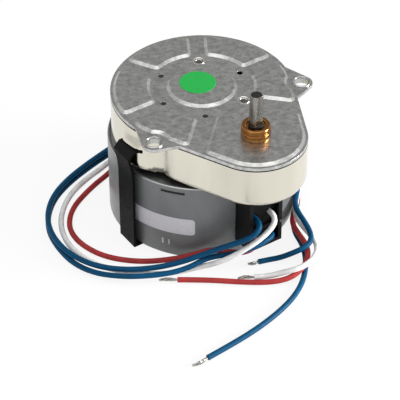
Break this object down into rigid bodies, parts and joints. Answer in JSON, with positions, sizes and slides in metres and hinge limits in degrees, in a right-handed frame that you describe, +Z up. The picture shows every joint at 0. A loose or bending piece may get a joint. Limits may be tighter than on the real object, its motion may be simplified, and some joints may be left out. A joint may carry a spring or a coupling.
{
  "type": "synchronous gear motor",
  "caption": "Flat round synchronous motor under a pear-shaped gearbox with an offset output shaft, side fixing lugs, holding straps and loose coloured leads.",
  "frame": {"origin": "centre of the motor can's flat underside, on the rotor's axis", "axes": "+Z up along the rotor and output shafts, -Y from the rotor towards the output shaft, X across the fixing lugs"},
  "size_m": [0.0848, 0.098, 0.0575],
  "materials": {
    "cover_sheet": "satin, finely mottled zinc plating",
    "housing_sheet": "smooth warm silver",
    "eyelet_steel": "bright rolled",
    "rivet_steel": "bright",
    "axle_steel": "ground",
    "bronze": "turned, glossy",
    "fibre_plastic": "satin",
    "gear_brass": "cut",
    "gear_steel": "cut",
    "shaft_steel": "ground",
    "can_sheet": "satin blue-grey plating",
    "plate_steel": "satin",
    "bobbin_plastic": "satin",
    "copper_winding": "enamelled",
    "hub_plastic": "satin",
    "magnet": "matt",
    "black_strap": "satin black",
    "block_plastic": "satin black",
    "label_paper": "matt",
    "sticker_green": "satin",
    "red_insulation": "satin",
    "white_insulation": "satin",
    "blue_insulation": "satin",
    "tinned_strand": "bright"
  },
  "bodies": {
    "frame": {"gearbox_cover": "cover_sheet", "gearbox_housing": "housing_sheet", "lug_eyelets": "eyelet_steel", "cover_posts": "rivet_steel", "gear_axles": "axle_steel", "output_bush": "bronze", "lower_output_bush": "bronze", "motor_can": "can_sheet", "motor_end_plate": "plate_steel", "lower_pole_plate": "plate_steel", "middle_pole_plate": "plate_steel", "upper_pole_plate": "plate_steel", "lower_bobbin": "bobbin_plastic", "upper_bobbin": "bobbin_plastic", "lower_winding": "copper_winding", "upper_winding": "copper_winding", "lower_rotor_bearing": "bronze", "upper_rotor_bearing": "bronze", "right_strap": "black_strap", "left_strap": "black_strap", "terminal_block": "block_plastic", "can_label": "label_paper", "cover_sticker": "sticker_green", "red_lead": "red_insulation", "white_lead": "white_insulation", "upper_blue_lead": "blue_insulation", "lower_blue_lead": "blue_insulation", "red_lead_end": "tinned_strand", "white_lead_end": "tinned_strand", "upper_blue_lead_end": "tinned_strand", "lower_blue_lead_end": "tinned_strand"},
    "rotor": {"rotor_shaft": "axle_steel", "rotor_hub": "hub_plastic", "rotor_magnet": "magnet", "rotor_pinion": "gear_steel"},
    "first wheel": {"first_wheel": "fibre_plastic"},
    "second wheel": {"second_wheel": "gear_brass"},
    "third wheel": {"third_wheel": "gear_brass"},
    "output": {"output_gear": "gear_steel", "output_shaft": "shaft_steel", "output_collar": "gear_steel"}
  },
  "joints": [
    {"name": "rotor_spin", "type": "hinge", "parent": "frame", "child": "rotor", "pos_m": [0, 0, 0.015], "axis": [0, 0, 1], "continuous": true},
    {"name": "first_wheel_spin", "type": "hinge", "parent": "frame", "child": "first wheel", "pos_m": [-0.0069, 0.01195, 0.034], "axis": [0, 0, 1], "continuous": true},
    {"name": "second_wheel_spin", "type": "hinge", "parent": "frame", "child": "second wheel", "pos_m": [-0.0138, 0, 0.034], "axis": [0, 0, 1], "continuous": true},
    {"name": "third_wheel_spin", "type": "hinge", "parent": "frame", "child": "third wheel", "pos_m": [-0.0069, -0.01195, 0.034], "axis": [0, 0, 1], "continuous": true},
    {"name": "output_spin", "type": "hinge", "parent": "frame", "child": "output", "pos_m": [0, -0.02792, 0.04], "axis": [0, 0, 1], "continuous": true}
  ],
  "couplings": [
    {"joint": "first_wheel_spin", "follows": "rotor_spin", "ratio": -0.27778},
    {"joint": "second_wheel_spin", "follows": "rotor_spin", "ratio": 0.07716},
    {"joint": "third_wheel_spin", "follows": "rotor_spin", "ratio": -0.021433},
    {"joint": "output_spin", "follows": "rotor_spin", "ratio": 0.0081651}
  ]
}
